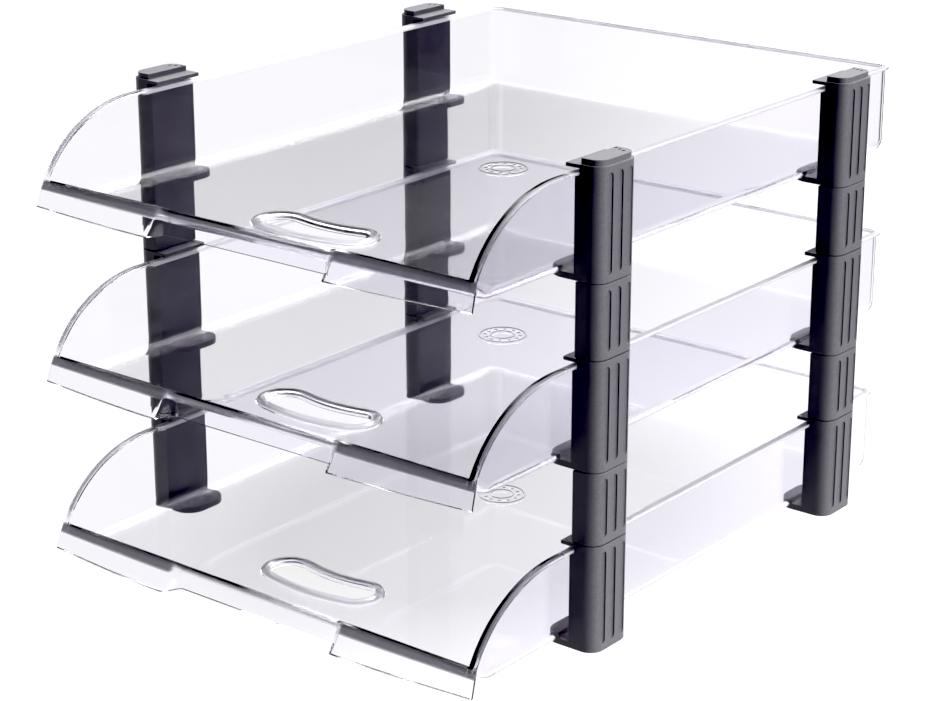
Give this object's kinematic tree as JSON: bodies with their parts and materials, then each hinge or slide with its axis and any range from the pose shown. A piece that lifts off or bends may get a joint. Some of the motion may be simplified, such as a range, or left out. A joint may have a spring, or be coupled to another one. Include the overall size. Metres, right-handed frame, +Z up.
{
  "type": "letter tray",
  "caption": "Three-tier desk letter tray: clear smoke-tinted open-front trays carried by four plug-together dark plastic columns.",
  "frame": {"origin": "centre of the footprint, at the level of the desk under the bottom holders", "axes": "+X to the right when facing the open front, +Y from the open front to the rear, +Z up"},
  "size_m": [0.28, 0.348, 0.2257],
  "materials": {
    "clear_tray": "smooth",
    "column_plastic": "satin"
  },
  "bodies": {
    "bottom_holders": {"holder_bottom_front_left": "column_plastic", "holder_bottom_front_right": "column_plastic", "holder_bottom_rear_left": "column_plastic", "holder_bottom_rear_right": "column_plastic"},
    "bottom_tray": {"tray_bottom": "clear_tray"},
    "lower_spacers": {"spacer_lower_front_left": "column_plastic", "spacer_lower_front_right": "column_plastic", "spacer_lower_rear_left": "column_plastic", "spacer_lower_rear_right": "column_plastic"},
    "middle_holders": {"holder_middle_front_left": "column_plastic", "holder_middle_front_right": "column_plastic", "holder_middle_rear_left": "column_plastic", "holder_middle_rear_right": "column_plastic"},
    "middle_tray": {"tray_middle": "clear_tray"},
    "upper_spacers": {"spacer_upper_front_left": "column_plastic", "spacer_upper_front_right": "column_plastic", "spacer_upper_rear_left": "column_plastic", "spacer_upper_rear_right": "column_plastic"},
    "top_holders": {"holder_top_front_left": "column_plastic", "holder_top_front_right": "column_plastic", "holder_top_rear_left": "column_plastic", "holder_top_rear_right": "column_plastic"},
    "top_tray": {"tray_top": "clear_tray"}
  },
  "joints": [
    {"name": "bottom_tray_slide", "type": "slide", "parent": "bottom_holders", "child": "bottom_tray", "axis": [0, -1, 0], "range_m": [0, 0.045]},
    {"name": "lower_spacers_lift", "type": "slide", "parent": "bottom_holders", "child": "lower_spacers", "axis": [0, 0, 1], "range_m": [0, 0.03]},
    {"name": "middle_holders_lift", "type": "slide", "parent": "lower_spacers", "child": "middle_holders", "axis": [0, 0, 1], "range_m": [0, 0.03]},
    {"name": "middle_tray_slide", "type": "slide", "parent": "middle_holders", "child": "middle_tray", "axis": [0, -1, 0], "range_m": [0, 0.045]},
    {"name": "upper_spacers_lift", "type": "slide", "parent": "middle_holders", "child": "upper_spacers", "axis": [0, 0, 1], "range_m": [0, 0.03]},
    {"name": "top_holders_lift", "type": "slide", "parent": "upper_spacers", "child": "top_holders", "axis": [0, 0, 1], "range_m": [0, 0.03]},
    {"name": "top_tray_slide", "type": "slide", "parent": "top_holders", "child": "top_tray", "axis": [0, -1, 0], "range_m": [0, 0.045]}
  ]
}
